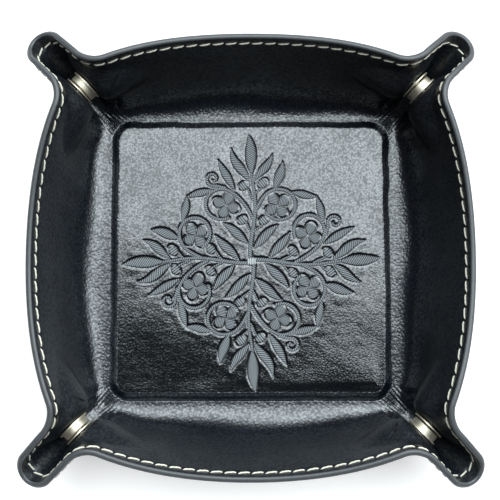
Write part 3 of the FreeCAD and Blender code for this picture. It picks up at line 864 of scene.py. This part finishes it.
def pale_floor():
    """Matt pale floor, lifted to white where it is seen or mirrored, so that only the shadow shows on it."""
    material, shader = new_finish("pale_floor", Roughness=0.9, Base_Color=(0.84, 0.79, 0.77, 1))
    n = add_nodes(material, path="LightPath", seen="Math", glow="Emission", sum="AddShader")
    n["seen"].operation = "MAXIMUM"
    wire(material, (n["path"], "Is Camera Ray", n["seen"], 0), (n["path"], "Is Glossy Ray", n["seen"], 1),
         (n["seen"], "Value", n["glow"], "Strength"), (n["glow"], "Emission", n["sum"], 0),
         (shader, "BSDF", n["sum"], 1),
         (n["sum"], "Shader", material.node_tree.nodes["Material Output"], "Surface"))
    set_inputs(n["glow"], Color=(FLOOR_GLOW, FLOOR_GLOW, FLOOR_GLOW, 1))
    return material


floor_points = np.array([[-1, -1, 0], [1, -1, 0], [1, 1, 0], [-1, 1, 0]]) * FLOOR_HALF - [0, 0, FLOOR_DROP]
floor = add_piece("floor", floor_points, [[0, 1, 2, 3]], [pale_floor()])

WINDOW_WAY, WINDOW_EDGE, WINDOW_SOFT = (0.16, 0.987, 0.0), 0.025, 0.045
WINDOW_LIGHT = 5.7, 6.35, 6.65, 1
ROOM_ABOVE, ROOM_BESIDE = (0.03, 0.034, 0.045, 1), (0.05, 0.045, 0.045, 1)


def window_sky():
    """Room around the tray: a dim side and a bright window side, which ends softly along a line near straight
    above, fades toward the horizon and the west, and is a little dimmer at the very top. The camera itself
    sees plain white."""
    world = bpy.data.worlds.new("room")
    world.use_nodes = True
    n = add_nodes(world, place="TexCoord", toward="VectorMath", edge="MapRange", split="SeparateXYZ",
                  haze="MapRange", share="Math", west="MapRange", top="MapRange", wide="Math", window="Math",
                  high="MapRange", room="MixRGB", sky="MixRGB", path="LightPath", seen="MixRGB")
    for product in ("share", "wide", "window"):
        n[product].operation = "MULTIPLY"
    for border in ("edge", "west"):
        n[border].interpolation_type = "SMOOTHSTEP"
    n["toward"].operation = "DOT_PRODUCT"
    n["toward"].inputs[1].default_value = WINDOW_WAY
    set_inputs(n["edge"], From_Min=WINDOW_EDGE - WINDOW_SOFT, From_Max=WINDOW_EDGE + WINDOW_SOFT)
    set_inputs(n["haze"], From_Min=0.42, From_Max=0.78, To_Min=0.05, To_Max=1.0)
    set_inputs(n["west"], From_Min=-0.55, From_Max=-0.2)
    set_inputs(n["top"], From_Min=0.8, From_Max=0.97, To_Min=1.0, To_Max=0.78)
    set_inputs(n["high"], From_Min=0.45, From_Max=0.85)
    set_inputs(n["room"], Color1=ROOM_BESIDE, Color2=ROOM_ABOVE)
    set_inputs(n["sky"], Color2=WINDOW_LIGHT)
    set_inputs(n["seen"], Color2=(1, 1, 1, 1))
    wire(world, (n["place"], "Generated", n["toward"], 0), (n["toward"], "Value", n["edge"], "Value"),
         (n["place"], "Generated", n["split"], "Vector"), (n["split"], "Z", n["haze"], "Value"),
         (n["edge"], "Result", n["share"], 0), (n["haze"], "Result", n["share"], 1),
         (n["split"], "Z", n["high"], "Value"), (n["high"], "Result", n["room"], "Fac"),
         (n["split"], "X", n["west"], "Value"), (n["split"], "Z", n["top"], "Value"),
         (n["west"], "Result", n["wide"], 0), (n["top"], "Result", n["wide"], 1),
         (n["share"], "Value", n["window"], 0), (n["wide"], "Value", n["window"], 1),
         (n["room"], "Color", n["sky"], "Color1"), (n["window"], "Value", n["sky"], "Fac"),
         (n["sky"], "Color", n["seen"], "Color1"), (n["path"], "Is Camera Ray", n["seen"], "Fac"),
         (n["seen"], "Color", world.node_tree.nodes["Background"], "Color"))
    return world


bpy.context.scene.world = window_sky()

CAMERA_AWAY, CAMERA_TILT = 0.300, math.radians(4.6)
CAMERA_AIM = Vector((-0.0003, 0.0038, 0.0))
camera_data = bpy.data.cameras.new("camera")
camera_data.lens = 54.0
camera_data.sensor_width = 36.0
camera = bpy.data.objects.new("camera", camera_data)
camera.rotation_euler = (CAMERA_TILT, 0, 0)
camera.location = CAMERA_AIM + camera.rotation_euler.to_matrix() @ Vector((0, 0, CAMERA_AWAY))
bpy.context.collection.objects.link(camera)
bpy.context.scene.camera = camera
bpy.context.scene.view_settings.view_transform = "Standard"
